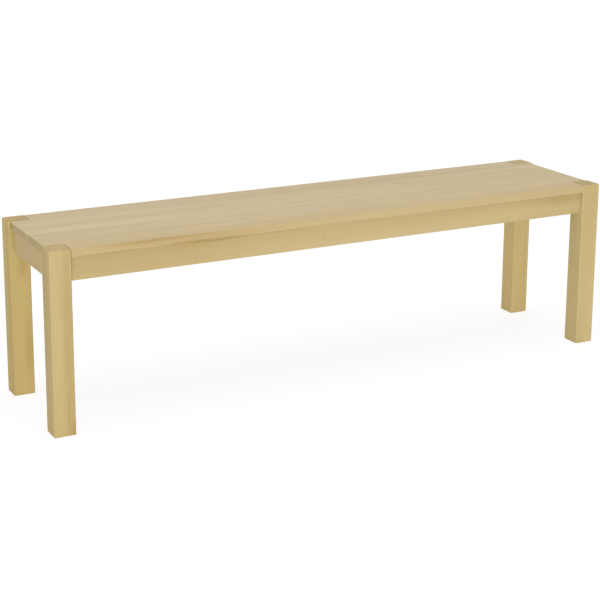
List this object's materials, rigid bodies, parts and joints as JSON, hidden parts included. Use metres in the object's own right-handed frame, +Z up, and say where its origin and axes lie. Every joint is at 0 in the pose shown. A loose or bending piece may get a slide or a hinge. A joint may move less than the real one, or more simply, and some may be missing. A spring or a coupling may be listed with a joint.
{
  "type": "backless bench",
  "caption": "Backless solid wood dining bench: square legs rise flush through the notched corners of a glued seat board, over set-back aprons with knock-down corner joints.",
  "frame": {"origin": "on the floor, at the centre of the bench's footprint", "axes": "+X along the bench to the right seen from the front, +Y to the back, +Z up"},
  "size_m": [1.6, 0.37, 0.46],
  "materials": {
    "leg_wood": "clear satin lacquer",
    "seat_wood": "clear satin lacquer",
    "apron_wood": "clear satin lacquer",
    "cleat_wood": "planed, unlacquered",
    "dowel_wood": "bare beech",
    "bracket_steel": "zinc plated, pressed",
    "zinc_hardware": "zinc plated",
    "zinc_screws": "yellow zinc plated"
  },
  "bodies": {
    "root": {"apron_back": "apron_wood", "apron_front": "apron_wood", "apron_left": "apron_wood", "apron_right": "apron_wood", "bolt_nuts": "zinc_hardware", "bolt_washers": "zinc_hardware", "bracket_screws": "zinc_screws", "cleat_back_left": "cleat_wood", "cleat_back_right": "cleat_wood", "cleat_end_left": "cleat_wood", "cleat_end_right": "cleat_wood", "cleat_front_left": "cleat_wood", "cleat_front_right": "cleat_wood", "cleat_screws": "zinc_screws", "corner_bracket_back_left": "bracket_steel", "corner_bracket_back_right": "bracket_steel", "corner_bracket_front_left": "bracket_steel", "corner_bracket_front_right": "bracket_steel", "cross_rail": "apron_wood", "cross_rail_dowels": "dowel_wood", "hanger_bolts": "zinc_hardware", "leg_back_left": "leg_wood", "leg_back_right": "leg_wood", "leg_dowels": "dowel_wood", "leg_front_left": "leg_wood", "leg_front_right": "leg_wood", "seat_stave_1": "seat_wood", "seat_stave_2": "seat_wood", "seat_stave_3": "seat_wood", "seat_stave_4": "seat_wood", "seat_stave_5": "seat_wood"}
  },
  "joints": []
}
